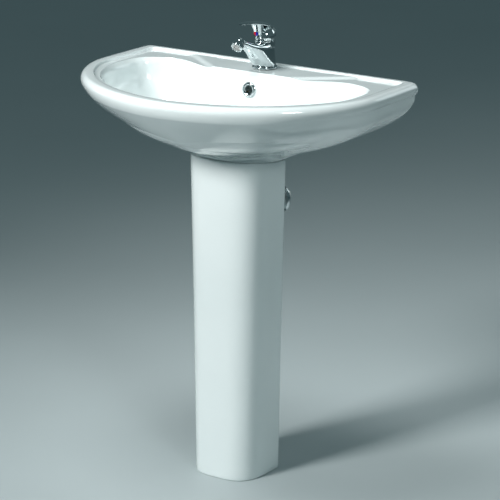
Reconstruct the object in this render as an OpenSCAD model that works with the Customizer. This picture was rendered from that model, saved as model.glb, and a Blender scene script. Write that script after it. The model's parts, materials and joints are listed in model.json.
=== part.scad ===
// Pedestal wash basin with a single lever mixer, click waste and bottle trap.
// Millimetres. Z is up, the floor is z = 0 and the basin faces -Y.
// The origin is on the floor, under the middle of the overall box.
// The modules are written from the wall plane, which at_wall() puts at y = wall_y.

/* [Basin] */
// widest part of the rim band, side to side
basin_w = 682; // [600:1:720]
// wall to the front of the rim band
basin_d = 443; // [420:1:480]
// floor to the top of the rim
rim_h = 850; // [800:1:880]
// rim to the bowl floor
bowl_depth = 138; // [110:1:150]
// thickness of the china walls
china_t = 11; // [9:0.5:13]
// drop from the rim to the inner ledge
step_h = 5.5; // [3:0.5:8]
// rise of the tap platform over the ledge
deck_rise = 3.5; // [2:0.5:6]
// tap hole diameter
tap_hole_d = 35; // [32:1:38]
// wall to the middle of the tap hole
tap_y = 50; // [45:1:60]
// waste hole diameter
waste_hole_d = 46; // [44:1:48]
// wall to the middle of the waste hole
waste_y = 168; // [160:1:176]
// overflow hole diameter
overflow_hole_d = 25; // [22:1:28]
// spacing of the two wall studs
stud_spacing = 280; // [200:10:320]
// height of the wall studs over the floor
stud_h = 782; // [770:1:790]

/* [Pedestal] */
// height of the sides of the column
ped_h = 678; // [640:1:700]
// width at the floor
foot_w = 155; // [140:1:180]
// width at the top
neck_w = 182; // [170:1:200]
// wall to the front of the column
ped_front = 230; // [210:1:240]
// wall to the open back of the column
ped_back = 104; // [80:1:110]
// thickness of the column wall
ped_t = 11; // [9:0.5:14]

/* [Mixer] */
// base ring diameter
base_d = 53; // [48:1:58]
// height of the spout tip over the deck
spout_h = 68; // [62:1:74]
// reach of the spout from the tap hole
reach = 96; // [90:1:104]
// lever dome diameter
dome_d = 47; // [44:1:50]
// cartridge diameter
cart_d = 35; // [34:0.5:36]

/* [Waste and trap] */
// plug diameter
plug_d = 60; // [56:1:62]
// plug lift
plug_lift = 8; // [5:1:10]
// pipe diameter
pipe_d = 32; // [30:1:40]
// height of the outlet pipe over the floor
outlet_h = 560; // [530:5:580]

/* [Hidden] */
$fn = 64;
half = basin_w / 2;
ledge_z = rim_h - step_h;
deck_z = ledge_z + deck_rise;
bowl_z = rim_h - bowl_depth;
joint_z = ped_h + 2;
band_z = rim_h - 33;
band_in = 7;
band_n = 1.85;
wall_n = 60;
piv = 66;
steps = 64;
stud_in = 55;
wall_y = (basin_d - stud_in) / 2;

// ---------- shared functions ----------
function ss(v) = let(t = min(1, max(0, v))) t * t * (3 - 2 * t);
function kp(u, n) = pow(pow(abs(cos(u)), n) + pow(abs(sin(u)), n), -1 / n);
// one point of a plan outline: half width, front, back, middle line and two roundness powers
function plan(u, a, df, yr, yc, nf, nr) =
  let(s = sin(u), k = kp(u, s < 0 ? nf : nr))
  [k * a * cos(u), -yc + k * (s < 0 ? df - yc : yc - yr) * s];
// how far the tap platform pushes the rear bowl edge forward
function dent(x) = 43 * ss((220 - abs(x)) / 120);
// height of the deck inside the step
function deck(x, y) =
  ledge_z + deck_rise * ss((195 - 1.3 * (-y - 26) - abs(x)) / 14 + 0.5) * ss((118 + y) / 12);
// bowl edge and bowl wall, s = 1 at the edge and 0 at the waste
function bowl_pt(u, s, grow) =
  let(p = plan(u, 33 + (292 + grow - 33) * s,
        waste_y + 33 + (402 + grow - waste_y - 33) * s,
        waste_y - 33 - (waste_y - 33 - 55 + grow) * s,
        waste_y + (160 - waste_y) * s, 2 - 0.05 * s, 2 + 2 * s),
    push = dent(p[0] / max(s, 0.2)) * ss(sin(u) / 0.6))
  [p[0], p[1] - push * (pow(s, 0.5) + 0.14 * ss((1 - s) / 0.03))];
// underside: t = 0 at the collar, 1 under the rim band, off = wall thickness taken off
// the lower edge of the band rises a little towards the sides
function band_edge(x) = band_z + 7 * ss((abs(x) - 190) / 100);
function joint(y) = joint_z + 10 * ss((-y - 120) / 98);
function mix(a, b, c) = a + (b - a) * c;
function hull_pt(u, t, off) =
  let(c = pow(max(0, 1 - t / 0.26), 2),
    w = mix(89 + (half - band_in - 89) * pow(sin(90 * t), 0.97), neck_w / 2, c) - off,
    d = mix(207 + (basin_d - band_in - 207) * pow(t, 0.6), ped_front - 1, c) - off)
  plan(u, w, d, off, mix(57 + 101 * t, 145, c), mix(mix(1.74, band_n, t), 3, c), wall_n);
function ring3(f) = [for (j = [0:steps - 1]) f(j * 360 / steps)];
function flat(v) = [for (r = v) for (p = r) p];
function skin_faces(m, n) = concat(
  [[for (j = [n - 1:-1:0]) j]],
  [for (i = [0:m - 2]) for (j = [0:n - 1]) let(k = (j + 1) % n) [i * n + j, i * n + k, (i + 1) * n + k]],
  [for (i = [0:m - 2]) for (j = [0:n - 1]) let(k = (j + 1) % n) [i * n + j, (i + 1) * n + k, (i + 1) * n + j]],
  [[for (j = [0:n - 1]) (m - 1) * n + j]]);
// rings run from the inside floor up and over, or from the top down; a closed solid comes back
module skin(rings) {
  polyhedron(points = flat(rings), faces = skin_faces(len(rings), len(rings[0])), convexity = 8);
}

// bowl surface: lateral scale and depth share of each ring, floor first
function bowl_ring(f, grow, drop) =
  let(s = pow(cos(f), 0.85), z = pow(sin(f), 0.9))
  ring3(function(u) let(p = bowl_pt(u, s * 0.97, grow),
    z0 = grow > 0 ? rim_h + 4 : deck(p[0], p[1]) - 9)
    [p[0], p[1], z0 + (bowl_z - drop - z0) * z]);
function edge_ring(s, dz) =
  ring3(function(u) let(p = bowl_pt(u, s, 0)) [p[0], p[1], deck(p[0], p[1]) - dz]);
function step_pt(u, v) =
  let(a = plan(u, 311, 411, 15, 158, band_n, 24), b = bowl_pt(u, 1, 0))
  a + (b - a) * v;
function deck_ring(v) =
  ring3(function(u) let(p = step_pt(u, v)) [p[0], p[1], deck(p[0], p[1])]);
function band_ring(ins, back, z) =
  ring3(function(u) let(p = plan(u, half - ins, basin_d - ins, back, 158, band_n, wall_n)) [p[0], p[1], z]);
function hull_ring(t, off) =
  ring3(function(u) let(p = hull_pt(u, t, off), z0 = joint(p[1]))
    [p[0], p[1], z0 + (band_edge(p[0]) - z0) * t]);

module at_wall() {
  translate([0, wall_y, 0]) children();
}

module at_overflow() {
  translate([0, -106.5, rim_h - 38]) rotate([84, 0, 0]) children();
}

// ---------- china ----------
module china_skin() {
  skin(concat(
    [for (f = [88, 80, 72, 64, 56, 48, 40, 32, 24, 16, 9, 3]) bowl_ring(f, 0, 0)],
    [edge_ring(0.974, 6), edge_ring(0.981, 3), edge_ring(0.990, 1), edge_ring(1, 0)],
    [for (v = [0.78, 0.55, 0.32, 0.12]) deck_ring(v)],
    [ring3(function(u) let(p = plan(u, 311, 411, 15, 158, band_n, 24)) [p[0], p[1], ledge_z]),
     ring3(function(u) let(p = plan(u, 313, 413, 12, 158, band_n, 30)) [p[0], p[1], rim_h - 1]),
     ring3(function(u) let(p = plan(u, 316, 416, 9, 158, band_n, 30)) [p[0], p[1], rim_h])],
    [band_ring(15, 2.5, rim_h), band_ring(9.5, 1, rim_h - 1.2), band_ring(4.5, 0, rim_h - 4.5),
     band_ring(1, 0, rim_h - 9), band_ring(0, 0, rim_h - 14), band_ring(0.8, 0, rim_h - 18),
     band_ring(3, 0, rim_h - 24)],
    [for (t = [1, 0.95, 0.88, 0.8, 0.72, 0.64, 0.56, 0.48, 0.4, 0.32, 0.24, 0.17, 0.11, 0.06, 0.02, 0])
      hull_ring(t, 0)]));
}

// hollow between the bowl and the underside, open at the collar
module china_hollow() {
  difference() {
    skin(concat(
      [ring3(function(u) let(p = hull_pt(u, 1, china_t + 4)) [p[0], p[1], rim_h - 18])],
      [for (t = [0.94, 0.8, 0.64, 0.48, 0.32, 0.2, 0.1, 0.03]) hull_ring(t, china_t)],
      [ring3(function(u) let(p = hull_pt(u, 0, china_t)) [p[0], p[1], joint_z - 6])]));
    skin(concat(
      [ring3(function(u) let(p = bowl_pt(u, 0.97, china_t)) [p[0], p[1], rim_h + 30])],
      [for (f = [3, 12, 22, 32, 44, 56, 68, 80, 88]) bowl_ring(f, china_t, china_t)]));
    translate([0, -waste_y, joint_z - 20]) cylinder(r = 38, h = 60);
  }
}

module basin() {
  color("#f2f7f7") at_wall()
  difference() {
    resize([0, 0, 0]) difference() {
      china_skin();
      china_hollow();
    }
    translate([0, -waste_y, joint_z - 30]) cylinder(d = waste_hole_d, h = 100);
    translate([0, -waste_y, bowl_z - 4]) cylinder(r = 34, h = 20);
    translate([0, -waste_y, joint_z - 30]) cylinder(r = 45, h = 36);
    translate([0, -tap_y, rim_h - 40]) cylinder(d = tap_hole_d, h = 60);
    at_overflow() cylinder(d = overflow_hole_d, h = 60, center = true);
    at_overflow() translate([0, 0, 0.75]) cylinder(r = 16.6, h = 12);
    for (sx = [-1, 1]) translate([sx * stud_spacing / 2, 5, stud_h])
      rotate([90, 0, 0]) cylinder(d = 15, h = 22);
  }
}

// ---------- pedestal ----------
function ped_a(z) = foot_w / 2 + (neck_w - foot_w) / 2 * pow(z / ped_h, 1.3);
// half of the ring goes round the outside, half comes back inside
function ped_ring(z, ins, top) =
  let(a = ped_a(z) - ins, m = 30)
  [for (side = [0, 1]) for (i = [0:m]) let(j = side == 0 ? i : m - i,
      w = a - side * ped_t, f = ped_front - ins - side * ped_t,
      p = j == 0 || j == m ? [(j == 0 ? -1 : 1) * (w - (side == 0 ? 5 : 0)), -ped_back] :
        j == 1 || j == m - 1 ? [(j == 1 ? -1 : 1) * w, -ped_back - 5] :
        j == 2 || j == m - 2 ? [(j == 2 ? -1 : 1) * w, -ped_back - 20] :
        plan(180 + (j - 3) * 180 / (m - 6), w, f, 0, 145, 3, 2))
    [p[0], p[1], top ? joint(p[1]) - 2 : z]];
module ped_shell() {
  zs = [0, 4, 60, 130, 200, 270, 340, 410, 480, 540, 590, 630, 660];
  rings = concat([for (z = zs) ped_ring(z, z == 0 ? 2 : 0, false)],
    [ped_ring(ped_h, 0, true)]);
  n = len(rings[0]);
  m = len(rings);
  h = n / 2;
  polyhedron(points = flat(rings), convexity = 6, faces = concat(
    [for (i = [0:m - 2]) for (j = [0:n - 1]) let(k = (j + 1) % n)
      [i * n + j, (i + 1) * n + j, (i + 1) * n + k]],
    [for (i = [0:m - 2]) for (j = [0:n - 1]) let(k = (j + 1) % n) [i * n + j, (i + 1) * n + k, i * n + k]],
    [for (j = [0:h - 2]) [j, j + 1, n - 2 - j]],
    [for (j = [0:h - 2]) [j, n - 2 - j, n - 1 - j]],
    [for (j = [0:h - 2]) let(o = (m - 1) * n) [o + j, o + n - 2 - j, o + j + 1]],
    [for (j = [0:h - 2]) let(o = (m - 1) * n) [o + j, o + n - 1 - j, o + n - 2 - j]]));
}
lug_x = foot_w / 2 - ped_t - 11;
lug_y = ped_back + 18;
module pedestal() {
  color("#f0f5f5") at_wall()
  difference() {
    union() {
      ped_shell();
      for (sx = [-1, 1]) translate([sx * lug_x - 14, -lug_y - 15, 0]) cube([28, 30, 14]);
    }
    for (sx = [-1, 1]) translate([sx * lug_x, -lug_y, -1]) cylinder(d = 7, h = 20);
  }
}

module pedestal_buffers() {
  color("#2b2b2b") at_wall() {
    for (sx = [-1, 1]) translate([sx * (neck_w / 2 - ped_t / 2 - 1), -ped_back - 10, ped_h + 0.06])
      cylinder(d = 9, h = 1.88);
  }
}

// ---------- wall fixings ----------
module at_studs() {
  for (sx = [-1, 1]) translate([sx * stud_spacing / 2, 0, stud_h]) rotate([90, 0, 0]) children();
}
module wall_studs() {
  color("#b9bdc2") at_wall() at_studs() translate([0, 0, -stud_in]) union() {
    cylinder(d1 = 3, d2 = 10, h = 8);
    translate([0, 0, 8]) cylinder(d = 10, h = stud_in - 8);
    translate([0, 0, stud_in - 1]) cylinder(d = 8, h = 34);
  }
}
module stud_sleeves() {
  color("#dcdcd6") at_wall() at_studs() difference() {
    union() {
      translate([0, 0, 1]) cylinder(d = 14.8, h = china_t);
      translate([0, 0, china_t + 0.05]) cylinder(d = 24, h = 3);
    }
    translate([0, 0, -1]) cylinder(d = 8.1, h = 30);
  }
}
module stud_washers() {
  color("#b9bdc2") at_wall() at_studs() translate([0, 0, china_t + 3.1]) difference() {
    cylinder(d = 28, h = 2.5);
    translate([0, 0, -1]) cylinder(d = 8.5, h = 5);
  }
}
module stud_nuts() {
  color("#b9bdc2") at_wall() at_studs() translate([0, 0, china_t + 5.65]) difference() {
    cylinder(d = 15, h = 6.5, $fn = 6);
    translate([0, 0, -1]) cylinder(d = 8.05, h = 12);
  }
}

// ---------- overflow ----------
module overflow_ring() {
  color("#d4d8dc") at_wall() at_overflow() rotate_extrude()
    polygon([[8.5, 1], [10.5, -14], [12.4, -14], [12.4, 0.8], [16, 0.8],
      [16, 2], [14.6, 3.4], [11.8, 3.9], [9.4, 3]]);
}

// ---------- waste ----------
module at_waste() {
  translate([0, -waste_y, bowl_z - 4]) children();
}
module waste_body() {
  color("#ccd0d4") at_wall() at_waste() {
    difference() {
      rotate_extrude() polygon([[21.5, 1.6], [32.5, 1.6], [32.5, 3], [31, 4.2], [26, 4.2], [21.5, 3]]);
      translate([0, 0, -5]) cylinder(r = 20, h = 20);
    }
    difference() {
      rotate_extrude() polygon([[19, -66], [22.4, -66], [22.4, 1.6], [22.5, 1.6], [22.5, 3], [20, 3], [19, 0]]);
      for (turn = [0, 90]) rotate([0, 0, turn]) translate([0, 0, -9])
        rotate([90, 0, 0]) cylinder(d = 7, h = 60, center = true);
    }
    translate([0, 0, -50]) difference() {
      cylinder(r = 19.5, h = 3);
      translate([0, 0, -1]) cylinder(r = 6, h = 6);
      for (a = [0:60:300]) rotate([0, 0, a]) translate([13, 0, -1]) cylinder(r = 4.6, h = 6);
    }
  }
}
module waste_top_seal() {
  color("#efefe8") at_wall() at_waste() difference() {
    cylinder(r = 31.5, h = 1.55);
    translate([0, 0, -1]) cylinder(r = 23.1, h = 4);
  }
}
module waste_low_seal() {
  color("#26282a") at_wall() translate([0, -waste_y, joint_z + 2]) difference() {
    cylinder(r = 34, h = 3.9);
    translate([0, 0, -1]) cylinder(r = 22.5, h = 8);
  }
}
module waste_washer() {
  color("#dfe1e0") at_wall() translate([0, -waste_y, joint_z]) difference() {
    cylinder(r = 33, h = 1.95);
    translate([0, 0, -1]) cylinder(r = 22.6, h = 8);
  }
}
module waste_nut() {
  color("#b8a36a") at_wall() translate([0, -waste_y, joint_z - 8.1]) difference() {
    cylinder(r = 32, h = 8, $fn = 8);
    translate([0, 0, -1]) cylinder(r = 22.45, h = 12);
  }
}
module click_cartridge() {
  color("#e3e3df") at_wall() at_waste() translate([0, 0, -46.9]) difference() {
    union() {
      cylinder(r = 8, h = 30);
      translate([0, 0, -13]) cylinder(r = 5.9, h = 14);
      translate([0, 0, 0]) cylinder(r = 11, h = 2.5);
    }
    translate([0, 0, 6]) cylinder(r = 4.8, h = 30);
  }
}
module plug_stem() {
  color("#c9a24b") at_wall() at_waste() translate([0, 0, -29]) union() {
    cylinder(r = 4.5, h = 43);
    translate([0, 0, 43]) cylinder(r = 3, h = 3.2);
  }
}
module waste_plug() {
  color("#d4d8dc") at_wall() at_waste() translate([0, 0, 4.4 + plug_lift]) difference() {
    rotate_extrude() polygon([[0, 0], [14, 0], [14, -5], [17.4, -5], [17.4, 0], [plug_d / 2 - 4, 0],
      [plug_d / 2, 1.6], [plug_d / 2 - 1.5, 3.6], [22, 6.2], [12, 7.6], [0, 8]]);
    translate([0, 0, -3]) cylinder(r = 4.55, h = 4.7);
    cylinder(r = 3.03, h = 5);
  }
}
module plug_seal() {
  color("#202224") at_wall() at_waste() translate([0, 0, 4.4 + plug_lift - 3.4]) difference() {
    cylinder(r = 18.6, h = 1.5);
    translate([0, 0, -1]) cylinder(r = 17.5, h = 4);
  }
}
module waste_tail() {
  color("#ccd0d4") at_wall() at_waste() translate([0, 0, -126]) difference() {
    union() {
      cylinder(d = pipe_d, h = 66);
      translate([0, 0, 60.1]) cylinder(r = 18.9, h = 9);
    }
    translate([0, 0, -1]) cylinder(d = pipe_d - 3, h = 80);
  }
}

// ---------- bottle trap ----------
tail_z = bowl_z - 4 - 126;
module at_trap(z) {
  translate([0, -waste_y, z]) children();
}
module trap_body() {
  color("#e9ebea") at_wall() difference() {
    union() {
      at_trap(outlet_h - 38) cylinder(r = 28, h = 66);
      at_trap(outlet_h + 26) cylinder(r = 20.5, h = 16);
      at_trap(outlet_h) rotate([-90, 0, 0]) cylinder(r = 20.5, h = 44);
    }
    at_trap(outlet_h - 39) cylinder(r = 25.5, h = 63);
    at_trap(outlet_h) cylinder(d = pipe_d + 0.4, h = 60);
    at_trap(outlet_h) rotate([-90, 0, 0]) cylinder(d = pipe_d - 3, h = 60);
    at_trap(outlet_h) rotate([-90, 0, 0]) translate([0, 0, 30]) cylinder(d = pipe_d + 0.4, h = 30);
  }
}
module trap_inlet_seal() {
  color("#2b2d2f") at_wall() at_trap(outlet_h + 42.1) difference() {
    cylinder(r = 20, h = 3);
    translate([0, 0, -1]) cylinder(d = pipe_d + 0.1, h = 6);
  }
}
module trap_inlet_nut() {
  color("#e1e3e2") at_wall() at_trap(outlet_h + 30) difference() {
    cylinder(r = 25, h = 18, $fn = 12);
    translate([0, 0, -1]) cylinder(r = 20.6, h = 16.15);
    cylinder(d = pipe_d + 1, h = 40);
  }
}
module trap_cup() {
  color("#e9ebea") at_wall() at_trap(outlet_h - 88) difference() {
    union() {
      cylinder(r1 = 22, r2 = 30.8, h = 10);
      translate([0, 0, 10]) cylinder(r = 30.8, h = 56);
    }
    translate([0, 0, 4]) cylinder(r = 24.8, h = 80);
    translate([0, 0, 48]) cylinder(r = 28.1, h = 60);
    for (a = [0:45:315]) rotate([0, 0, a]) translate([34, 0, -1]) cylinder(r = 5, h = 80);
  }
}
module trap_cup_seal() {
  color("#2b2d2f") at_wall() at_trap(outlet_h - 39.95) difference() {
    cylinder(r = 28, h = 1.9);
    translate([0, 0, -1]) cylinder(r = 25, h = 4);
  }
}
module at_outlet(d) {
  translate([0, -waste_y + d, outlet_h]) rotate([-90, 0, 0]) children();
}
module trap_outlet_seal() {
  color("#2b2d2f") at_wall() at_outlet(44.1) difference() {
    cylinder(r = 20, h = 3);
    translate([0, 0, -1]) cylinder(d = pipe_d + 0.1, h = 6);
  }
}
module trap_outlet_nut() {
  color("#e1e3e2") at_wall() at_outlet(32) difference() {
    cylinder(r = 25, h = 18, $fn = 12);
    translate([0, 0, -1]) cylinder(r = 20.6, h = 16.15);
    cylinder(d = pipe_d + 1, h = 40);
  }
}
module outlet_pipe() {
  color("#e9ebea") at_wall() at_outlet(31) difference() {
    union() {
      cylinder(d = pipe_d, h = waste_y - 31);
      translate([0, 0, 10]) cylinder(d = pipe_d - 0.6, h = waste_y - 11);
    }
    translate([0, 0, -1]) cylinder(d = pipe_d - 3.4, h = waste_y + 60);
  }
}
module wall_flange() {
  color("#d4d8dc") at_wall() at_outlet(waste_y) rotate([180, 0, 0]) rotate_extrude()
    polygon([[pipe_d / 2 + 0.1, 0.2], [34, 0.2], [34, 1.4], [30, 4.5], [22, 7],
      [pipe_d / 2 + 1.6, 12], [pipe_d / 2 + 0.1, 12]]);
}

// ---------- mixer ----------
module at_tap() {
  translate([0, -tap_y, deck_z]) children();
}
module base_gasket() {
  color("#1f2123") at_wall() at_tap() difference() {
    cylinder(r = 24.5, h = 1);
    translate([0, 0, -1]) cylinder(r = 17, h = 4);
  }
}
module base_ring() {
  color("#d4d8dc") at_wall() at_tap() rotate_extrude()
    polygon([[17, 1.05], [base_d / 2 - 0.6, 1.05], [base_d / 2, 1.8],
      [base_d / 2, 3.6], [base_d / 2 - 1.2, 4.8], [17, 4.8]]);
}
// spout sections: back or top point, front or under point (reach, height), half width
function spout_rows() = [
  [-22.5, 7, 24.5, 7, 23], [-22.5, 15, 31, 11, 22.9], [-22.3, 28, 40, 19, 22.6], [-21.5, 41, 48.5, 28, 22],
  [-13, 54, 56, 36.5, 21], [8, 56.3, 63.5, 43.5, 19], [32, 57.2, 70.5, 49, 16.6], [56, 62.5, 78, 53.5, 14.2],
  [76, 69.5, 85.5, 56.5, 12.4], [reach - 3, spout_h + 7, reach - 6, spout_h - 11, 11.6]];
function spout_ring(r) = [for (j = [0:35]) let(u = j * 10,
  cs = (r[0] + r[2]) / 2, ch = (r[1] + r[3]) / 2,
  hs = (r[0] - r[2]) / 2, hh = (r[1] - r[3]) / 2, k = kp(u, 2.2))
  [r[4] * k * cos(u), -(cs + hs * k * sin(u)), ch + hh * k * sin(u)]];
ax_s = reach - 4;
ax_h = spout_h - 2;
module at_aerator() {
  translate([0, -ax_s, ax_h]) rotate([90 + 28, 0, 0]) children();
}
module mixer_body() {
  color("#d4d8dc") at_wall() at_tap() difference() {
    union() {
      skin([for (i = [len(spout_rows()) - 1:-1:0]) spout_ring(spout_rows()[i])]);
      translate([0, 0, 4.85]) cylinder(r = 21.4, h = 3);
      translate([0, 0, -9]) cylinder(r = 16.4, h = 18);
      translate([0, 0, 44]) cylinder(r = 22, h = 13);
      at_aerator() translate([0, 0, -6]) cylinder(r = 11.4, h = 8);
    }
    translate([0, 0, 32]) cylinder(d = cart_d + 0.2, h = 40);
    translate([0, 0, 47]) cylinder(r = 19.2, h = 40);
    translate([0, 0, -10]) cylinder(r = 14, h = 16);
    for (sx = [-1, 1]) translate([sx * 7.6, -4, 5]) cylinder(d = 9, h = 35);
    translate([0, 9.5, -10]) cylinder(d = 8, h = 32);
    translate([0, -12, 38]) rotate([70, 0, 0]) cylinder(d = 9, h = 82);
    at_aerator() translate([0, 0, -5]) cylinder(r = 9.6, h = 20);
  }
}
module aerator_seal() {
  color("#202224") at_wall() at_tap() at_aerator() translate([0, 0, -4.9]) difference() {
    cylinder(r = 9.3, h = 1.8);
    translate([0, 0, -1]) cylinder(r = 6.5, h = 4);
  }
}
module aerator_insert() {
  color("#e8e8e2") at_wall() at_tap() at_aerator() translate([0, 0, -3]) difference() {
    cylinder(r = 8.6, h = 16);
    translate([0, 0, 3]) cylinder(r = 7.4, h = 11.5);
    translate([0, 0, -1]) cylinder(r = 3, h = 8);
    translate([0, 0, 12]) cylinder(r = 1.1, h = 8);
    for (a = [0:60:300]) rotate([0, 0, a]) translate([4.4, 0, 12]) cylinder(r = 1.3, h = 8);
  }
}
module aerator_ring() {
  color("#d4d8dc") at_wall() at_tap() at_aerator() rotate_extrude()
    polygon([[8.7, -2.9], [9.5, -2.9], [9.5, 2.2], [11.6, 2.2], [12, 2.8], [12, 12.4], [11, 14], [8.7, 14]]);
}
module cartridge_body() {
  color("#d9dbd6") at_wall() at_tap() difference() {
    union() {
      translate([0, 0, 34]) cylinder(d = cart_d, h = 14);
      translate([0, 0, 48]) cylinder(r = 14, h = 11);
    }
    translate([0, 0, 50]) cylinder(r = 10.3, h = 20);
    for (sx = [-1, 1]) translate([sx * 7.6, -4, 30]) cylinder(r = 3.5, h = 12);
    translate([0, 9, 30]) cylinder(r = 3.8, h = 12);
  }
}
module cartridge_seals() {
  color("#202224") at_wall() at_tap() {
    for (sx = [-1, 1]) translate([sx * 7.6, -4, 32.1]) difference() {
      cylinder(r = 6.6, h = 1.8);
      translate([0, 0, -1]) cylinder(r = 5.2, h = 4);
    }
  }
}
module cartridge_nut() {
  color("#b8a36a") at_wall() at_tap() difference() {
    translate([0, 0, 48.1]) cylinder(r = 19.1, h = 7);
    translate([0, 0, 47]) cylinder(r = 14.1, h = 10);
    for (a = [45:90:315]) rotate([0, 0, a]) translate([17.5, 0, 52]) cylinder(r = 1.5, h = 5);
  }
}
dome_r = dome_d / 2 - 3;
module dome_cover() {
  color("#d4d8dc") at_wall() at_tap() difference() {
    union() {
      translate([0, 0, piv]) sphere(r = dome_r);
      translate([0, 0, 57.05]) cylinder(r = 21.6, h = 1.8);
      translate([0, 0, 57.05]) cylinder(r = 18.9, h = 4);
    }
    translate([0, 0, piv]) sphere(r = dome_r - 2);
    translate([0, 0, piv + 8]) cylinder(r = 15, h = 30);
    translate([0, 0, 40]) cylinder(r = 40, h = 17.05);
  }
}
module cartridge_carrier() {
  color("#2f6db0") at_wall() at_tap() difference() {
    union() {
      translate([0, 0, 50.5]) cylinder(r = 10, h = 8);
      translate([0, 0, 58.4]) cylinder(r = 9.2, h = 12);
    }
    translate([-4.2, -20, 59.5]) cube([8.4, 40, 20]);
    translate([0, 0, piv]) rotate([0, 90, 0]) cylinder(d = 3, h = 30, center = true);
  }
}
module pivot_pin() {
  color("#c4c8cc") at_wall() at_tap() translate([0, 0, piv])
    rotate([0, 90, 0]) cylinder(d = 2.96, h = 16, center = true);
}
module lever_stem() {
  color("#c9a24b") at_wall() at_tap() difference() {
    translate([-3.8, -3.8, piv - 3.8]) cube([7.6, 7.6, 24]);
    translate([0, 0, piv]) rotate([0, 90, 0]) cylinder(d = 3.06, h = 30, center = true);
    for (sy = [-1, 1]) translate([0, sy * 6.6, piv - 5.6]) rotate([45, 0, 0]) cube([20, 6, 6], center = true);
  }
}
// lever blade sections: reach, height of the top, thickness, half width
function blade_rows() = [
  [-22, 74, 5, 8], [-20, 80, 6, 12.5], [-14, 88, 7, 15.5], [-4, 93.5, 7.5, 17.2], [8, 97.5, 7, 17.8],
  [20, 100.3, 6, 17.6], [34, 103, 5, 16.8], [48, 105.2, 4.2, 15.6], [62, 107, 3.8, 13.8],
  [74, 107.6, 3.6, 11.2], [83, 107, 3.4, 8], [89, 105.6, 2.6, 3.6]];
function blade_ring(r) = [for (j = [0:23]) let(u = -j * 15, k = kp(u, 2.3), x = r[3] * k * cos(u))
  [x, -r[0], r[1] - r[2] / 2 - 0.012 * x * x + r[2] / 2 * k * sin(u)]];
btn_h = 77;
module at_button() {
  translate([0, 0, btn_h]) rotate([90, 0, 0]) children();
}
module lever_handle() {
  color("#d4d8dc") at_wall() at_tap() difference() {
    union() {
      intersection() {
        translate([0, 0, piv + 1.8]) sphere(r = dome_d / 2);
        translate([-40, -40, piv + 2.2]) cube([80, 80, 60]);
      }
      skin([for (r = blade_rows()) blade_ring(r)]);
      hull() {
        translate([0, -24.3, 64.5]) cylinder(r = 1.5, h = 1, $fn = 24);
        translate([0, -28, btn_h]) scale([1, 0.45, 1]) cylinder(r = 8.8, h = 1, $fn = 32);
        translate([0, -36, 99]) scale([1, 0.4, 1]) cylinder(r = 13, h = 1, $fn = 32);
        translate([0, -12, btn_h - 3]) cylinder(r = 6, h = 20, $fn = 24);
      }
    }
    translate([0, 0, piv]) sphere(r = dome_r + 0.6);
    translate([-3.85, -3.85, piv]) cube([7.7, 7.7, 24.3]);
    at_button() cylinder(d = 5, h = 60);
    at_button() translate([0, 0, 29.5]) cylinder(d = 10.6, h = 30);
  }
}
module grub_screw() {
  color("#4a4d50") at_wall() at_tap() at_button() translate([0, 0, 3.9]) difference() {
    cylinder(d = 4.96, h = 9);
    translate([0, 0, 6]) cylinder(d = 2.9, h = 5, $fn = 6);
  }
}
module indicator_button() {
  color("#b01828") at_wall() at_tap() at_button() union() {
    translate([0, 0, 29.55]) cylinder(d = 10.5, h = 3.4);
    translate([0, 0, 24]) cylinder(d = 4.96, h = 6);
  }
}
module mount_stud() {
  color("#b9bdc2") at_wall() at_tap() translate([0, 9.5, -58]) cylinder(d = 7.96, h = 78);
}
module clamp_shape(r, h) {
  linear_extrude(height = h) difference() {
    circle(r = r);
    translate([0, -6]) circle(r = 14.5);
    translate([-14.5, -40]) square([29, 34]);
    translate([0, 9.5]) circle(r = 4.2);
  }
}
under_z = -deck_rise + step_h - 18;
module clamp_gasket() {
  color("#202224") at_wall() at_tap() translate([0, 0, under_z - 3.05]) clamp_shape(23.5, 3);
}
module clamp_plate() {
  color("#b9bdc2") at_wall() at_tap() translate([0, 0, under_z - 5.6]) clamp_shape(23, 2.5);
}
module clamp_nut() {
  color("#b8a36a") at_wall() at_tap() translate([0, 9.5, under_z - 17.7]) difference() {
    union() {
      cylinder(d = 12.7, h = 12, $fn = 6);
      translate([0, 0, 10]) cylinder(d = 15, h = 2);
    }
    translate([0, 0, -1]) cylinder(d = 8, h = 20);
  }
}

basin();
pedestal();
pedestal_buffers();
wall_studs();
stud_sleeves();
stud_washers();
stud_nuts();
overflow_ring();
waste_body();
waste_top_seal();
waste_low_seal();
waste_washer();
waste_nut();
click_cartridge();
plug_stem();
waste_plug();
plug_seal();
waste_tail();
trap_inlet_nut();
trap_inlet_seal();
trap_body();
trap_cup();
trap_cup_seal();
trap_outlet_nut();
trap_outlet_seal();
outlet_pipe();
wall_flange();
base_gasket();
base_ring();
mixer_body();
aerator_seal();
aerator_insert();
aerator_ring();
cartridge_body();
cartridge_seals();
cartridge_nut();
dome_cover();
cartridge_carrier();
pivot_pin();
lever_stem();
lever_handle();
grub_screw();
indicator_button();
mount_stud();
clamp_gasket();
clamp_plate();
clamp_nut();
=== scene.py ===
import bpy, bmesh, json, math
import numpy as np
from mathutils import Vector, Matrix


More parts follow.
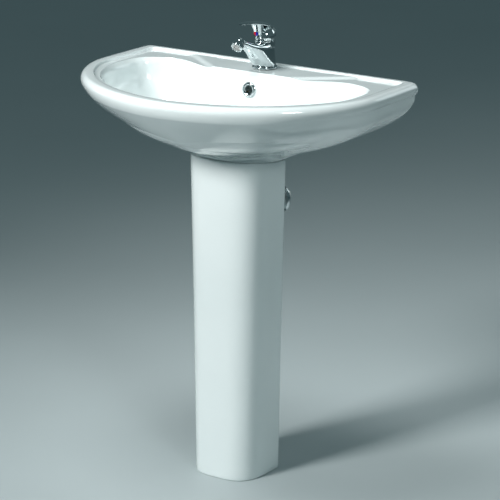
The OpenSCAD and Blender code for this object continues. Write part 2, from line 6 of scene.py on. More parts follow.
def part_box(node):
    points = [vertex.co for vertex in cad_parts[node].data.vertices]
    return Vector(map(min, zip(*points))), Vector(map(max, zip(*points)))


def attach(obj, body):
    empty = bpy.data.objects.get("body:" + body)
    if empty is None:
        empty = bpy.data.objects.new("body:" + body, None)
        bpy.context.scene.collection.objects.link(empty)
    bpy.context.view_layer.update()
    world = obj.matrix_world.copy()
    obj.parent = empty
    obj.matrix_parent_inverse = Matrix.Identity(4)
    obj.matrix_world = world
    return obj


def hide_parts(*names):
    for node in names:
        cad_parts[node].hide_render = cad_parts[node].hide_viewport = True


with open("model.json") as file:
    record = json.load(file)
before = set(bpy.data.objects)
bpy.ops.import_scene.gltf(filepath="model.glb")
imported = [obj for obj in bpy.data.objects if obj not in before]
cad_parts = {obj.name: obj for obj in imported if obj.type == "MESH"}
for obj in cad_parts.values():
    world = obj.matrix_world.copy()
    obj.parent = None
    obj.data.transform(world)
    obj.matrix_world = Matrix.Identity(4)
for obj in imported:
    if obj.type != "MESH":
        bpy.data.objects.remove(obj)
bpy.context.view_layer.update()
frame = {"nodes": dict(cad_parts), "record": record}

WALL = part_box("basin")[1][1]            # y of the wall plane
SC = bpy.context.scene

# ------------------------------------------------------------------ camera
def make_camera():
    data = bpy.data.cameras.new("cam")
    data.lens = 173.2                   # mm
    data.sensor_width = 36              # mm
    data.clip_start, data.clip_end = 0.1, 100
    cam = bpy.data.objects.new("cam", data)
    SC.collection.objects.link(cam)
    ahead = Vector((-0.53538, 0.79571, -0.28322)).normalized()
    up = Vector((-0.16022, 0.23356, 0.95905))
    right = ahead.cross(up).normalized()
    up = right.cross(ahead)
    m = Matrix((right, up, -ahead)).transposed().to_4x4()
    m.translation = Vector((2.6930, -4.1048 + WALL, 1.8932))
    cam.matrix_world = m
    SC.camera = cam
make_camera()

# ------------------------------------------------------------------ mesh helpers
def new_mesh(name, verts, faces):
    me = bpy.data.meshes.new(name)
    me.from_pydata([tuple(v) for v in verts], [], [tuple(f) for f in faces])
    return me

def new_object(name, me):
    o = bpy.data.objects.new(name, me)
    SC.collection.objects.link(o)
    return o

def piece(name, verts, faces, mat, body, node, slot, sharp):
    """a visual piece from its mesh; edges over `sharp` degrees stay hard"""
    finish_piece(name, new_mesh(name, verts, faces), mat, body, node, sharp)

def finish_piece(name, me, mat, body, node, sharp):
    bm = bmesh.new()
    bm.from_mesh(me)
    bmesh.ops.remove_doubles(bm, verts=bm.verts, dist=1e-6)
    bmesh.ops.recalc_face_normals(bm, faces=bm.faces)
    for f in bm.faces:
        f.smooth = True
    for e in bm.edges:
        e.smooth = not (len(e.link_faces) == 2 and e.calc_face_angle(0) > math.radians(sharp))
    bm.to_mesh(me)
    bm.free()
    me.name = name
    me.materials.clear()
    me.materials.append(mat)
    o = new_object(name, me)
    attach(o, body)
    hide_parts(node)

def tube_faces(m, n, caps=True):
    """faces between m rings of n points, with or without a cap at each end"""
    fs = [(i * n + j, i * n + (j + 1) % n, (i + 1) * n + (j + 1) % n, (i + 1) * n + j)
          for i in range(m - 1) for j in range(n)]
    if caps:
        fs += [tuple(range(n - 1, -1, -1)), tuple((m - 1) * n + j for j in range(n))]
    return fs

def rings_mesh(rings):
    v = np.concatenate([np.asarray(r, float) for r in rings])
    return v, tube_faces(len(rings), len(rings[0]))

def lathe(profile, seg=96, closed=True):
    """turn (r, z) points round Z; a closed profile makes a ring, an open one is capped"""
    rings = []
    for r, z in profile:
        angles = [2 * math.pi * j / seg for j in range(seg)]
        rings.append([(r * math.cos(a), r * math.sin(a), z) for a in angles])
    v = np.concatenate([np.asarray(r) for r in rings])
    m = len(profile)
    fs = tube_faces(m, seg, not closed)
    if closed:
        fs += [((m - 1) * seg + j, (m - 1) * seg + (j + 1) % seg, (j + 1) % seg, j) for j in range(seg)]
    return v, fs

def rounded(profile, r=0.4, steps=4, closed=True):
    """round the corners of an (r, z) outline"""
    out, n = [], len(profile)
    for i, p in enumerate(profile):
        if not closed and i in (0, n - 1):
            out.append(p)
            continue
        p = np.array(p, float)
        a = np.array(profile[i - 1], float) - p
        b = np.array(profile[(i + 1) % n], float) - p
        la, lb = np.linalg.norm(a), np.linalg.norm(b)
        k = min(r, la * 0.45, lb * 0.45)
        pa, pb = p + a / la * k, p + b / lb * k
        for s in np.linspace(0, 1, steps):
            out.append(tuple((1 - s) ** 2 * pa + 2 * s * (1 - s) * p + s * s * pb))
    return out

def place(verts, at=(0, 0, 0), rx=0.0):
    """mm -> m, turned about X, moved to a point given from the wall plane"""
    m = Matrix.Rotation(math.radians(rx), 3, "X")
    v = np.asarray(verts, float) @ np.array(m).T + np.array(at, float)
    v = v * 0.001
    v[:, 1] += WALL
    return v

def joined(parts):
    """several meshes as one"""
    vs, fs, k = [], [], 0
    for v, f in parts:
        vs.append(np.asarray(v, float))
        fs += [tuple(i + k for i in q) for q in f]
        k += len(v)
    return np.concatenate(vs), fs

# ------------------------------------------------------------------ materials
def material(name):
    m = bpy.data.materials.new(name)
    m.use_nodes = True
    t = m.node_tree
    t.nodes.clear()
    out = t.nodes.new("ShaderNodeOutputMaterial")
    b = t.nodes.new("ShaderNodeBsdfPrincipled")
    t.links.new(b.outputs["BSDF"], out.inputs["Surface"])
    co = t.nodes.new("ShaderNodeTexCoord")
    return m, t, b, co

def noise(t, co, scale, detail, rough):
    n = t.nodes.new("ShaderNodeTexNoise")
    n.inputs["Scale"].default_value = scale
    n.inputs["Detail"].default_value = detail
    n.inputs["Roughness"].default_value = rough
    t.links.new(co.outputs["Object"], n.inputs["Vector"])
    return n

def ramp(t, src, stops):
    r = t.nodes.new("ShaderNodeValToRGB")
    el = r.color_ramp.elements
    while len(el) < len(stops):
        el.new(0.5)
    for e, (p, c) in zip(el, stops):
        e.position = p
        e.color = (*c, 1)
    t.links.new(src, r.inputs["Fac"])
    return r

def remap(t, src, lo, hi, a=0.3, b=0.7):
    r = t.nodes.new("ShaderNodeMapRange")
    r.inputs["From Min"].default_value = a
    r.inputs["From Max"].default_value = b
    r.inputs["To Min"].default_value = lo
    r.inputs["To Max"].default_value = hi
    t.links.new(src, r.inputs["Value"])
    return r.outputs["Result"]

def bump(t, b, src, dist, strength):
    n = t.nodes.new("ShaderNodeBump")
    n.inputs["Distance"].default_value = dist
    n.inputs["Strength"].default_value = strength
    t.links.new(src, n.inputs["Height"])
    t.links.new(n.outputs["Normal"], b.inputs["Normal"])

def two_tones(t, b, co, scale, detail, rough, dark, light):
    """base colour that drifts between two tones"""
    n = noise(t, co, scale, detail, rough)
    c = ramp(t, n.outputs["Fac"], [(0.3, dark), (0.7, light)])
    t.links.new(c.outputs["Color"], b.inputs["Base Color"])

def china_mat():
    m, t, b, co = material("china")
    big = noise(t, co, 3.5, 2, 0.45)
    c = ramp(t, big.outputs["Fac"], [(0.35, (0.79, 0.86, 0.86)), (0.65, (0.83, 0.895, 0.895))])
    speck = noise(t, co, 900, 1, 0.4)
    s = ramp(t, speck.outputs["Fac"], [(0.22, (0.90, 0.90, 0.89)), (0.27, (1, 1, 1))])
    mul = t.nodes.new("ShaderNodeMix")
    mul.data_type = "RGBA"
    mul.blend_type = "MULTIPLY"
    mul.inputs["Factor"].default_value = 1
    t.links.new(c.outputs["Color"], mul.inputs["A"])
    t.links.new(s.outputs["Color"], mul.inputs["B"])
    t.links.new(mul.outputs["Result"], b.inputs["Base Color"])
    r = noise(t, co, 14, 4, 0.6)
    t.links.new(remap(t, r.outputs["Fac"], 0.10, 0.18), b.inputs["Roughness"])
    b.inputs["IOR"].default_value = 1.5
    b.inputs["Coat Weight"].default_value = 1.0
    b.inputs["Coat Roughness"].default_value = 0.03
    b.inputs["Coat IOR"].default_value = 1.5
    w = noise(t, co, 22, 2, 0.4)
    bump(t, b, w.outputs["Fac"], 0.0001, 0.12)
    return m

def chrome_mat():
    m, t, b, co = material("chrome")
    tint = (0.66, 0.71, 0.72)
    b.inputs["Metallic"].default_value = 1.0
    two_tones(t, b, co, 60, 3, 0.55, tuple(x * 0.96 for x in tint), tint)
    s = noise(t, co, 420, 5, 0.7)
    t.links.new(remap(t, s.outputs["Fac"], 0.035, 0.09, 0.35, 0.75), b.inputs["Roughness"])
    bump(t, b, s.outputs["Fac"], 0.00002, 0.15)
    return m

def metal_mat(name, dark, light, r0, r1):
    m, t, b, co = material(name)
    b.inputs["Metallic"].default_value = 1.0
    two_tones(t, b, co, 35, 4, 0.6, dark, light)
    s = noise(t, co, 300, 4, 0.6)
    t.links.new(remap(t, s.outputs["Fac"], r0, r1), b.inputs["Roughness"])
    bump(t, b, s.outputs["Fac"], 0.00008, 0.3)
    return m

def soft_mat(name, dark, light, r0, r1, scale, bumpd=0.0001, spec=0.5, coat=0.0):
    m, t, b, co = material(name)
    two_tones(t, b, co, 18, 3, 0.5, dark, light)
    s = noise(t, co, scale, 4, 0.6)
    t.links.new(remap(t, s.outputs["Fac"], r0, r1), b.inputs["Roughness"])
    b.inputs["Specular IOR Level"].default_value = spec
    b.inputs["Coat Weight"].default_value = coat
    bump(t, b, s.outputs["Fac"], bumpd, 0.4)
    return m

def thread_mat(name, dark, light, pitch, axis):
    """metal with a fine running thread in its bump; the pitch is in metres"""
    m, t, b, co = material(name)
    b.inputs["Metallic"].default_value = 1.0
    two_tones(t, b, co, 40, 4, 0.6, dark, light)
    s = noise(t, co, 300, 3, 0.6)
    t.links.new(remap(t, s.outputs["Fac"], 0.25, 0.42), b.inputs["Roughness"])
    w = t.nodes.new("ShaderNodeTexWave")
    w.wave_type = "BANDS"
    w.bands_direction = axis
    w.inputs["Scale"].default_value = math.pi / (pitch * 10)
    t.links.new(co.outputs["Object"], w.inputs["Vector"])
    bump(t, b, w.outputs["Color"], 0.0005, 0.9)
    return m

CHINA = china_mat()
CHROME = chrome_mat()
ZINC_TONES = (0.48, 0.49, 0.50), (0.62, 0.63, 0.64)
BRASS = metal_mat("brass", (0.60, 0.43, 0.17), (0.74, 0.56, 0.26), 0.22, 0.36)
ZINC = metal_mat("zinc_steel", *ZINC_TONES, 0.25, 0.42)
DARK = metal_mat("dark_steel", (0.10, 0.10, 0.11), (0.17, 0.17, 0.18), 0.35, 0.5)
RUBBER = soft_mat("black_rubber", (0.018, 0.018, 0.019), (0.032, 0.032, 0.034),
                  0.55, 0.75, 400, 0.00015, 0.3)
SEAL = soft_mat("clear_seal", (0.62, 0.62, 0.58), (0.72, 0.72, 0.69), 0.35, 0.5, 300)
WHITE = soft_mat("white_plastic", (0.74, 0.755, 0.75), (0.80, 0.81, 0.805), 0.22, 0.34, 500, 0.00004)
GREY = soft_mat("grey_plastic", (0.42, 0.43, 0.42), (0.50, 0.51, 0.50), 0.4, 0.55, 600, 0.00005)
BLUE = soft_mat("blue_plastic", (0.03, 0.12, 0.36), (0.05, 0.17, 0.45), 0.4, 0.5, 600, 0.00005)
RED_IND = soft_mat("indicator_red", (0.45, 0.004, 0.012), (0.62, 0.01, 0.02),
                   0.12, 0.2, 600, 0.00003, coat=0.6)
BLUE_IND = soft_mat("indicator_blue", (0.006, 0.012, 0.30), (0.012, 0.03, 0.45),
                    0.12, 0.2, 600, 0.00003, coat=0.6)
THREADED = {"wall_studs": thread_mat("zinc_thread", *ZINC_TONES, 0.0015, "Y"),
            "mount_stud": thread_mat("zinc_thread_z", *ZINC_TONES, 0.00125, "Z")}
BY_SLOT = {"china": CHINA, "chrome": CHROME, "brass": BRASS, "zinc_steel": ZINC, "dark_steel": DARK,
           "black_rubber": RUBBER, "clear_seal": SEAL, "white_plastic": WHITE, "grey_plastic": GREY,
           "blue_plastic": BLUE, "indicator": RED_IND}
slot_of = {s["node"]: s["material_slot"] for s in frame["record"]["subparts"]}
for name, o in frame["nodes"].items():
    for s in o.material_slots:
        s.material = THREADED.get(name, BY_SLOT[slot_of[name]])

# ------------------------------------------------------------------ china shape (mm from the wall plane)
HALF, DEPTH, RIM = 341.0, 443.0, 850.0  # half the width, depth and height of the rim
T = 11.0                                # thickness of the china
WASTE_Y, TAP_Y = 168.0, 50.0            # waste and tap hole, out from the wall
PED_H = 678.0                           # height of the column
NECK, FOOT = 182.0, 155.0               # its width at the top and at the floor
FRONT, BACK = 230.0, 104.0              # its front and back, out from the wall
LEDGE = RIM - 5.5                       # sunken ledge round the bowl
DECK_RISE = 3.5
DECK = LEDGE + DECK_RISE                # tap deck
BOWL_Z = RIM - 138.0                    # bowl floor
JOINT = PED_H + 2                       # underside of the basin over the column
BAND = RIM - 33                         # lower edge of the rim band
BAND_IN = 7                             # how far the band draws in towards its lower edge
DENT = 43                               # how far the tap deck pushes the bowl's back forward
LIP_W, LIP_FRONT, LIP_BACK = 292, 402, 55  # the bowl's lip: half width, front and back
LIP_Y = 160                             # its widest point, out from the wall
LIP = 9                                 # height of its rounding
LIP_IN = 0.03                           # share of the bowl's outline that the rounding takes
STEP_W, STEP_FRONT, STEP_BACK = 311, 411, 15  # foot of the step round the ledge
EDGE, EDGE_IN = 14, 13                  # height and width of the rim's rounded outer edge
CORNER_Y = 158                          # widest point of the rim, out from the wall
PLAN_N = 1.85                           # roundness of the rim's front half
WALL_N = 60                             # squareness of the corners at the wall
COLLAR = 0.26                           # share of the underside that blends into the column

def ss(v):
    """smooth step from 0 to 1"""
    t = np.clip(v, 0, 1)
    return t * t * (3 - 2 * t)

def kp(c, s, n):
    """radius of a superellipse of power n in the direction (c, s)"""
    return (np.abs(c) ** n + np.abs(s) ** n) ** (-1 / n)

def plan(u, a, df, yr, yc, nf, nr):
    """outline in plan: half width a, front at df, back at yr, widest at yc; powers nf in front, nr behind"""
    c, s = np.cos(u), np.sin(u)
    k = np.where(s < 0, kp(c, s, nf), kp(c, s, nr))
    return np.stack([k * a * c, -yc + k * np.where(s < 0, df - yc, yc - yr) * s], 1)

def dent(x):
    return DENT * ss((220 - np.abs(x)) / 120)

def deck(p):
    """height of the ledge, or of the tap deck where it stands on it"""
    x, y = p[:, 0], p[:, 1]
    sides = ss((195 - 1.3 * (-y - 26) - np.abs(x)) / 14 + 0.5)
    return LEDGE + DECK_RISE * sides * ss((118 + y) / 12)

def bowl_pt(u, s, grow=0.0):
    """ring of the bowl, from its flat floor at s = 0 to its lip at s = 1"""
    r = 33                              # flat floor round the waste
    p = plan(u, r + (LIP_W + grow - r) * s, WASTE_Y + r + (LIP_FRONT + grow - WASTE_Y - r) * s,
             WASTE_Y - r - (WASTE_Y - r - LIP_BACK + grow) * s, WASTE_Y + (LIP_Y - WASTE_Y) * s,
             2 - 0.05 * s, 2 + 2 * s)
    d = dent(p[:, 0] / max(s, 0.2))
    p[:, 1] -= (d * s ** 0.5 + d / DENT * 6 * ss((1 - s) / LIP_IN)) * ss(np.sin(u) / 0.6)
    return p

def joint(y):
    """height of the basin's underside over the column, which rises to the front"""
    return JOINT + 10 * ss((-y - 120) / 98)

def band_edge(x):
    """height of the band's lower edge, which rises to the sides"""
    return BAND + 7 * ss((np.abs(x) - 190) / 100)

def mix(a, b, c):
    return a + (b - a) * c

def hull_pt(u, t, off=0.0):
    """ring of the underside, from the joint at t = 0 to the band at t = 1"""
    c = max(0.0, 1 - t / COLLAR) ** 2
    w0, d0 = 89, 207                    # half width and front at the joint, were there no collar
    w = mix(w0 + (HALF - BAND_IN - w0) * math.sin(math.pi / 2 * t) ** 0.97, NECK / 2, c) - off
    d = mix(d0 + (DEPTH - BAND_IN - d0) * t ** 0.6, FRONT - 1, c) - off
    return plan(u, w, d, off, mix(57 + 101 * t, 145, c), mix(mix(1.74, PLAN_N, t), 3, c), WALL_N)

N = 336
U = np.linspace(0, 2 * np.pi, N, endpoint=False)

def with_z(p, z):
    """points in plan with a height"""
    return np.column_stack([p, np.broadcast_to(z, len(p))])

def china_skin():
    """the basin's whole outer surface in rings: bowl, lip, ledge, step, rim, band, underside"""
    rings = []
    for f in np.radians(np.concatenate([[88, 84], np.linspace(80, 12, 34), [9, 6, 3]])):  # bowl
        s, z = math.cos(f) ** 0.85, math.sin(f) ** 0.9
        p = bowl_pt(U, s * (1 - LIP_IN))
        z0 = deck(p) - LIP
        rings.append(with_z(p, z0 + (BOWL_Z - z0) * z))
    for a in np.radians(np.linspace(0, 90, 9)[1:]):  # lip
        p = bowl_pt(U, 1 - LIP_IN * (1 - math.sin(a)))
        rings.append(with_z(p, deck(p) - LIP * (1 - math.sin(a))))
    lip = bowl_pt(U, 1)
    foot = plan(U, STEP_W, STEP_FRONT, STEP_BACK, CORNER_Y, PLAN_N, 24)
    for v in np.linspace(0, 1, 15)[1:-1][::-1]:      # ledge and tap deck
        p = mix(foot, lip, v)
        rings.append(with_z(p, deck(p)))
    for out, back, z in ((0, 0, LEDGE), (0.6, 1, LEDGE + 0.6), (1.3, 2.4, LEDGE + 2.5),
                         (2, 3, RIM - 1.4), (3, 4, RIM - 0.4), (5, 6, RIM)):
        p = plan(U, STEP_W + out, STEP_FRONT + out, STEP_BACK - back, CORNER_Y, PLAN_N, 30)
        rings.append(with_z(p, z))
    def band(ins, back, z):
        rings.append(with_z(plan(U, HALF - ins, DEPTH - ins, back, CORNER_Y, PLAN_N, WALL_N), z))
    for ins in (20, 16.5, EDGE_IN):                  # flat top of the rim
        band(ins, 0.3 * ins, RIM)
    for a in np.radians(np.linspace(0, 90, 10)[1:]):  # its rounded outer edge
        k = 1 - math.sin(a)
        band(EDGE_IN * k, 3.2 * k ** 1.5, RIM - EDGE * (1 - math.cos(a)))
    for v in np.linspace(0, 1, 9)[1:]:               # band
        ins = BAND_IN * v ** 1.9
        p = plan(U, HALF - ins, DEPTH - ins, 0, CORNER_Y, PLAN_N, WALL_N)
        rings.append(with_z(p, RIM - EDGE + (band_edge(p[:, 0]) - RIM + EDGE) * v))
    near_joint = [0.07, 0.045, 0.025, 0.01, 0.0]
    for t in np.concatenate([[0.985, 0.965], np.linspace(0.94, 0.1, 34), near_joint]):
        p = hull_pt(U, t)
        z0 = joint(p[:, 1])
        rings.append(with_z(p, z0 + (band_edge(p[:, 0]) - z0) * t))
    return rings

def china_hollow():
    """the hollow behind the underside"""
    rings = [with_z(hull_pt(U, 1, T + 4), RIM - 18)]
    for t in (0.94, 0.88, 0.8, 0.7, 0.6, 0.5, 0.4, 0.3, 0.2, 0.1, 0.03):
        p = hull_pt(U, t, T)
        z0 = joint(p[:, 1])
        rings.append(with_z(p, z0 + (band_edge(p[:, 0]) - z0) * t))
    rings.append(with_z(hull_pt(U, 0, T), JOINT - 6))
    return rings

def bowl_outside():
    """the back of the bowl's wall, which the hollow stops at"""
    rings = [with_z(bowl_pt(U, 1 - LIP_IN, T), RIM + 30)]
    for f in np.radians([3, 7, 12, 18, 25, 32, 40, 48, 56, 64, 72, 80, 88]):
        s, z = math.cos(f) ** 0.85, math.sin(f) ** 0.9
        p = bowl_pt(U, s * (1 - LIP_IN), T)
        z0 = RIM + 4
        rings.append(with_z(p, z0 + (BOWL_Z - T - z0) * z))
    return rings

def temp_object(name, verts, faces):
    """a closed body for carve, which removes it"""
    me = new_mesh(name, verts, faces)
    bm = bmesh.new()
    bm.from_mesh(me)
    bmesh.ops.recalc_face_normals(bm, faces=bm.faces)
    bm.to_mesh(me)
    bm.free()
    return new_object(name, me)

def carve(base, cutters):
    """mesh of the base less the cutters"""
    for c in cutters:
        md = base.modifiers.new("cut", "BOOLEAN")
        md.operation = "DIFFERENCE"
        md.object = c
        md.solver = "EXACT"
    dg = bpy.context.evaluated_depsgraph_get()
    me = bpy.data.meshes.new_from_object(base.evaluated_get(dg))
    for o in (base, *cutters):
        bpy.data.objects.remove(o, do_unlink=True)
    return me

def rod(name, r, z0, z1, at, rx=0, seg=72):
    v, f = lathe([(0.0005, z0), (r, z0), (r, z1), (0.0005, z1)], seg, False)
    return temp_object(name, place(v, at, rx), f)

OV, OV_TILT = (0, -106.5, RIM - 38), 84  # overflow: its place and the turn of its axis
STUD_X, STUD_Z = 140, 782                # wall-stud holes

def make_basin():
    v, f = rings_mesh(china_skin())
    skin = temp_object("skin", place(v), f)
    v, f = rings_mesh(china_hollow())
    hollow = temp_object("hollow", place(v), f)
    v, f = rings_mesh(bowl_outside())
    inner = temp_object("inner", place(v), f)
    boss = rod("boss", 38, JOINT - 20, JOINT + 40, (0, -WASTE_Y, 0))
    cut = [new_object("hollow", carve(hollow, [inner, boss])),
           rod("waste_hole", 23, JOINT - 30, JOINT + 70, (0, -WASTE_Y, 0)),
           rod("waste_seat", 34, BOWL_Z - 4, BOWL_Z + 16, (0, -WASTE_Y, 0)),
           rod("waste_recess", 45, JOINT - 30, JOINT + 6, (0, -WASTE_Y, 0)),
           rod("tap_hole", 17.5, RIM - 40, RIM + 20, (0, -TAP_Y, 0)),
           rod("overflow_hole", 12.5, -30, 30, OV, OV_TILT),
           rod("overflow_face", 16.6, 0.75, 13, OV, OV_TILT)]
    for x in (-STUD_X, STUD_X):
        cut.append(rod("stud_hole", 7.5, 0, 22, (x, 5, STUD_Z), 90))
    finish_piece("basin_china", carve(skin, cut), CHINA, "fixture", "basin", 32)

make_basin()

def ped_a(z):
    """half the column's width at a height"""
    return FOOT / 2 + (NECK - FOOT) / 2 * (z / PED_H) ** 1.3

def ped_path(w, f, back, rc):
    """open outline from the left back edge round the front to the right back edge"""
    p = plan(np.radians(np.linspace(180, 360, 72)), w, f, 0, 145, 3.0, 2)
    left = [(-w + rc * (1 - math.sin(q)), -back - rc * (1 - math.cos(q)))
            for q in np.linspace(0, math.pi / 2, 7)]
    left += [(-w, y) for y in (-back - rc - 4, -back - rc - 10, -138)]
    right = [(-x, y) for x, y in left][::-1]
    return np.array(left + [tuple(q) for q in p] + right)

def ped_ring(z, ins, back_ins):
    """outline of the column's wall at a height: the outside, then the inside back again"""
    w, f = ped_a(z) - ins, FRONT - ins
    outside = ped_path(w, f, BACK + back_ins, 5)
    inside = ped_path(w - T + 2 * ins, f - T + 2 * ins, BACK + back_ins, 2.5)[::-1]
    return np.concatenate([outside, inside])

def make_pedestal():
    zs = [(0, 2.4), (0.6, 1.3), (1.6, 0.5), (3.2, 0)] + [(z, 0) for z in np.linspace(12, 660, 40)]
    rings = [with_z(ped_ring(z, ins, ins * 0.4), z) for z, ins in zs]
    for dz, ins in ((-3.2, 0), (-1.6, 0.4), (-0.6, 1.2), (0, 2.2)):
        p = ped_ring(PED_H, ins, ins * 0.3)
        rings.append(with_z(p, joint(p[:, 1]) - 2 + dz))
    n = len(rings[0])
    v = np.concatenate(rings)
    fs = tube_faces(len(rings), n, False)
    last = (len(rings) - 1) * n
    for j in range(n // 2 - 1):
        fs.append((j, j + 1, n - 2 - j, n - 1 - j))
        fs.append((last + j, last + n - 1 - j, last + n - 2 - j, last + j + 1))
    parts = [(place(v), fs)]
    y0, y1 = -136.5, -107.5
    for x0, x1 in ((-69, -42), (42, 69)):
        lug = [[(x0 + i, y0 + i, z), (x1 - i, y0 + i, z), (x1 - i, y1 - i, z), (x0 + i, y1 - i, z)]
               for z, i in ((0.3, 1), (1.4, 0), (12.6, 0), (13.7, 1))]
        lv, lf = rings_mesh(lug)
        base = temp_object("lug", place(lv), lf)
        me = carve(base, [rod("screw_hole", 3.5, -5, 25, ((x0 + x1) / 2, (y0 + y1) / 2, 0), seg=40)])
        parts.append((np.array([tuple(q.co) for q in me.vertices]),
                      [tuple(q.vertices) for q in me.polygons]))
    piece("pedestal_china", *joined(parts), CHINA, "fixture", "pedestal", "china", 40)

make_pedestal()

# ------------------------------------------------------------------ overflow, waste
v, f = lathe(rounded([(8.5, 1), (10.5, -14), (12.4, -14), (12.4, 0.8), (15.9, 0.8),
                      (15.9, 2), (14.6, 3.3), (11.8, 3.9), (9.4, 3)], 0.7, 5), 96)
piece("overflow_trim", place(v, OV, OV_TILT), f, CHROME, "fixture", "overflow_ring", "chrome", 50)

SEAT = (0, -WASTE_Y, BOWL_Z - 4)        # the waste's seat in the bowl
parts = [lathe(rounded([(21.6, 1.6), (32.4, 1.6), (32.4, 2.9), (31, 4.1), (27, 4.1), (22.6, 3.1),
                        (20.3, 2.6), (19.1, 0), (19.1, -65.8), (22.3, -65.8), (22.3, 0)], 0.5, 4), 128)]
for k in range(6):                      # the six arms that carry the middle ring
    a = math.radians(60 * k + 30)
    arm = [[(-1.2, 6, z), (1.2, 6, z), (1.2, 19.2, z), (-1.2, 19.2, z)] for z in (-50, -47)]
    v, f = rings_mesh(arm)
    m = np.array([[math.cos(a), -math.sin(a), 0], [math.sin(a), math.cos(a), 0], [0, 0, 1]])
    parts.append((v @ m.T, f))
parts.append(lathe(rounded([(6.05, -50), (8.2, -50), (8.2, -47), (6.05, -47)], 0.3, 3), 48))
v, f = joined(parts)
piece("waste_flange", place(v, SEAT), f, CHROME, "fixture", "waste_body", "chrome", 45)

PLUG_UP = 4.4 + 8                       # height over the waste: 4.4 when shut, and 8 of travel
v, f = lathe(rounded([(0.002, 0.2), (3.1, 0.2), (3.1, 1.8), (13.9, 1.8), (13.9, -4.9), (17.3, -4.9),
                      (17.3, 0), (26, 0), (29.9, 1.6), (28.6, 3.5), (22, 6.1), (12, 7.5),
                      (0.002, 7.95)], 0.6, 5, False), 128, False)
piece("plug_cap", place(v, (0, -WASTE_Y, SEAT[2] + PLUG_UP)), f, CHROME, "plug", "waste_plug", "chrome", 45)

# ------------------------------------------------------------------ mixer
TAP = (0, -TAP_Y, DECK)
PIV = 66.0                              # height of the pivot pin over the deck
NOSE = (0, -TAP_Y - 92, DECK + 66)      # end of the spout
NOSE_TILT = 118
v, f = lathe(rounded([(17.1, 1.1), (25.9, 1.1), (26.45, 1.8), (26.45, 3.6),
                      (25.3, 4.7), (17.1, 4.7)], 0.5, 5), 128)
piece("tap_base_ring", place(v, TAP), f, CHROME, "fixture", "base_ring", "chrome", 50)

# sections of the spout: back y, back z, front y, front z, half width
ROWS = np.array([[-22.5, 7, 24.5, 7, 23], [-22.5, 15, 31, 11, 22.9], [-22.3, 28, 40, 19, 22.6],
                 [-21.5, 41, 48.5, 28, 22], [-13, 54, 56, 36.5, 21], [8, 56.3, 63.5, 43.5, 19],
                 [32, 57.2, 70.5, 49, 16.6], [56, 62.5, 78, 53.5, 14.2], [76, 69.5, 85.5, 56.5, 12.4],
                 [93, 75, 90, 57, 11.6]], float)

def spline_rows(rows):
    """Catmull-Rom through the rows, in five steps between each two"""
    out, n = [], len(rows)
    for i in range(n - 1):
        p0, p1, p2, p3 = rows[max(i - 1, 0)], rows[i], rows[i + 1], rows[min(i + 2, n - 1)]
        for s in np.arange(5) / 5:
            out.append(0.5 * ((2 * p1) + (-p0 + p2) * s + (2 * p0 - 5 * p1 + 4 * p2 - p3) * s ** 2
                              + (-p0 + 3 * p1 - 3 * p2 + p3) * s ** 3))
    out.append(rows[-1])
    return np.array(out)

def spout_ring(r, shrink=0.0):
    u = np.linspace(0, 2 * np.pi, 72, endpoint=False)
    k = kp(np.cos(u), np.sin(u), 2.2)
    cs, ch, hs, hh = (r[0] + r[2]) / 2, (r[1] + r[3]) / 2, (r[0] - r[2]) / 2, (r[1] - r[3]) / 2
    g = 1 - shrink
    return np.stack([g * r[4] * k * np.cos(u), -(cs + g * hs * k * np.sin(u)),
                     ch + g * hh * k * np.sin(u)], 1)

rows = spline_rows(ROWS)
rings = [spout_ring(rows[0], shrink=0.05)] + [spout_ring(r) for r in rows]
rings[1][:, 2] += 0.6
collar = lathe(rounded([(0.01, 44), (21.9, 44), (21.9, 56.9), (19.3, 56.9), (19.3, 50), (0.01, 50)],
                       0.6, 5, False), 128, False)
neck = lathe(rounded([(0.01, 4.9), (21.3, 4.9), (21.3, 8), (0.01, 8)], 0.3, 3, False), 96, False)
shank = lathe(rounded([(0.01, -8.9), (16.3, -8.9), (16.3, 6), (0.01, 6)], 0.5, 3, False), 64, False)
v, f = joined([rings_mesh(rings), collar, neck, shank])
ev, ef = lathe(rounded([(0.01, -6), (11.3, -6), (11.3, 1.9), (9.7, 1.9), (9.7, -4.9), (0.01, -4.9)],
                       0.3, 3, False), 96, False)
v, f = joined([(place(v, TAP), f), (place(ev, NOSE, NOSE_TILT), ef)])
piece("mixer_casting", v, f, CHROME, "fixture", "mixer_body", "chrome", 50)

v, f = lathe(rounded([(8.8, -2.8), (9.45, -2.8), (9.45, 2.25), (11.6, 2.25), (11.95, 2.8),
                      (11.95, 12.4), (11, 13.9), (8.8, 13.9)], 0.5, 5), 120)
piece("aerator_nose", place(v, NOSE, NOSE_TILT), f, CHROME, "fixture", "aerator_ring", "chrome", 50)

def arc(r, z_lo, z_hi, cz, n=20):
    """(r, z) points on a sphere's outline between two heights"""
    a0, a1 = (math.asin(max(-1, min(1, (z - cz) / r))) for z in (z_lo, z_hi))
    return [(r * math.cos(a), cz + r * math.sin(a)) for a in np.linspace(a0, a1, n)]

outer = [(16.2, 57.1), (21.5, 57.1), (21.5, 58.8), (18.85, 58.9)] + arc(20.45, 59.2, PIV + 13.8, PIV)
inner = arc(18.55, 58.6, PIV + 10.5, PIV)[::-1]
v, f = lathe(outer + inner, 120)
piece("dome_trim", place(v, TAP), f, CHROME, "fixture", "dome_cover", "chrome", 40)

# sections of the lever's blade: y, top z, thickness, half width
BLADE = np.array([[-22, 74, 5, 8], [-20, 80, 6, 12.5], [-14, 88, 7, 15.5], [-4, 93.5, 7.5, 17.2],
                  [8, 97.5, 7, 17.8], [20, 100.3, 6, 17.6], [34, 103, 5, 16.8], [48, 105.2, 4.2, 15.6],
                  [62, 107, 3.8, 13.8], [74, 107.5, 3.6, 11.2], [83, 107, 3.4, 8],
                  [88.8, 105.6, 2.6, 3.6]], float)

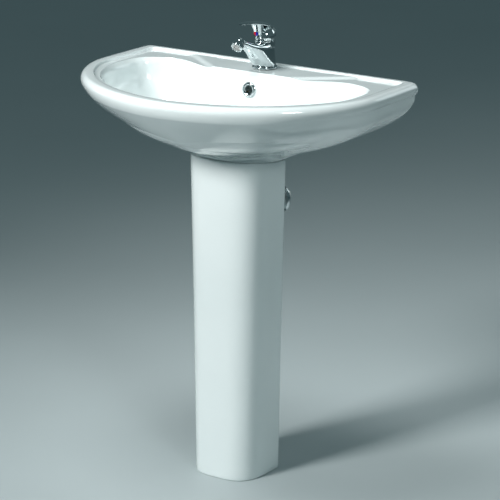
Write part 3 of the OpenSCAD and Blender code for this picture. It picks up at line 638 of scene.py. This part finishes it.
def blade_ring(r):
    n = 48
    u = np.linspace(0, 2 * np.pi, n, endpoint=False)
    k = kp(np.cos(u), np.sin(u), 2.3)
    x = r[3] * k * np.cos(u)
    return np.stack([x, np.full(n, -r[0]),
                     r[1] - r[2] / 2 - 0.012 * x * x + r[2] / 2 * k * np.sin(u)], 1)

blade = rings_mesh([blade_ring(r) for r in spline_rows(BLADE)])
dome = lathe([(21.2, PIV + 2.4)] + arc(23.4, PIV + 2.25, PIV + 25.19, PIV + 1.8, 26) +
             arc(21.15, PIV + 2.5, PIV + 21.1, PIV)[::-1], 128, False)
hub = []                                # rows: height, half width, back and front out from the stem
for z, w, s0, s1 in [(64.7, 1.2, 21.5, 25.4), (66, 2.4, 20, 26.7), (70, 5.2, 14, 29.0),
                     (74, 7.4, 12, 30.9), (78, 8.9, 12, 32.1), (84, 9.9, 12, 34.3),
                     (90, 11, 13, 37), (95, 12, 15, 39.4), (99.5, 12.8, 18, 41)]:
    u = np.linspace(0, 2 * np.pi, 40, endpoint=False)
    k = kp(np.cos(u), np.sin(u), 2.6)
    hub.append(np.stack([w * k * np.cos(u), -((s0 + s1) / 2 + (s1 - s0) / 2 * k * np.sin(u)),
                         np.full(40, z)], 1))
v, f = joined([blade, dome, rings_mesh(hub)])
piece("lever", place(v, TAP), f, CHROME, "mixer_lever", "lever_handle", "chrome", 45)

def half_disc(r, z0, z1, side):
    pts = [(r * math.cos(a), r * math.sin(a)) for a in np.linspace(-math.pi / 2, math.pi / 2, 24)]
    pts = [(side * x + side * 0.02, y) for x, y in pts]
    return rings_mesh([[(x * k, y * k, z) for x, y in pts]
                       for z, k in ((z0, 1), (z1 - 0.35, 1), (z1 - 0.1, 0.95), (z1, 0.86))])

BUTTON = (0, -TAP_Y, DECK + 77)         # axis of the indicator
for side, mat, name in ((1, BLUE_IND, "indicator_cold"), (-1, RED_IND, "indicator_hot")):
    v, f = half_disc(5.2, 29.6, 32.9, side)
    piece(name, place(v, BUTTON, 90), f, mat, "mixer_lever", "indicator_button", "indicator", 50)

# ------------------------------------------------------------------ floor, light
def floor():
    me = new_mesh("floor", [(-14, -9, 0), (14, -9, 0), (14, 22, 0), (-14, 22, 0)], [(0, 1, 2, 3)])
    o = new_object("floor", me)
    m, t, b, co = material("floor")
    two_tones(t, b, co, 1.2, 3, 0.5, (0.50, 0.565, 0.575), (0.53, 0.595, 0.605))
    b.inputs["Roughness"].default_value = 0.55
    me.materials.append(m)

floor()

def area(name, loc, target, size, power, color, sy=None, spread=180):
    """a soft light of size by sy metres that shines on the target"""
    d = bpy.data.lights.new(name, "AREA")
    d.shape = "RECTANGLE"
    d.size = size
    d.size_y = sy or size
    d.energy = power
    d.color = color
    d.spread = math.radians(spread)
    o = new_object(name, d)
    o.location = loc
    o.rotation_euler = (Vector(target) - Vector(loc)).to_track_quat("-Z", "Y").to_euler()

world = bpy.data.worlds.new("world")
world.use_nodes = True
bg = world.node_tree.nodes["Background"]
bg.inputs["Color"].default_value = (0.36, 0.56, 0.60, 1)
bg.inputs["Strength"].default_value = 0.20
SC.world = world
area("key", (-1.0, -2.9, 2.6), (0, 0, 0.62), 0.8, 10.5, (1, 1, 0.99), 1.0, 50)
area("left", (-3.0, -0.3, 1.7), (0, 0, 0.6), 0.6, 6, (0.93, 1, 1), 1.8)
area("right", (2.6, -1.7, 2.3), (0.1, 0, 0.75), 0.7, 1.6, (0.93, 1, 1), 0.7, 50)
area("top", (-0.3, -0.5, 3.2), (0, 0, 0.85), 0.9, 5.5, (0.98, 1, 1), 0.9, 70)
area("back", (1.6, 3.0, 2.0), (0, 0, 0.7), 1.2, 8, (0.88, 0.98, 1))
SC.view_settings.view_transform = "Standard"
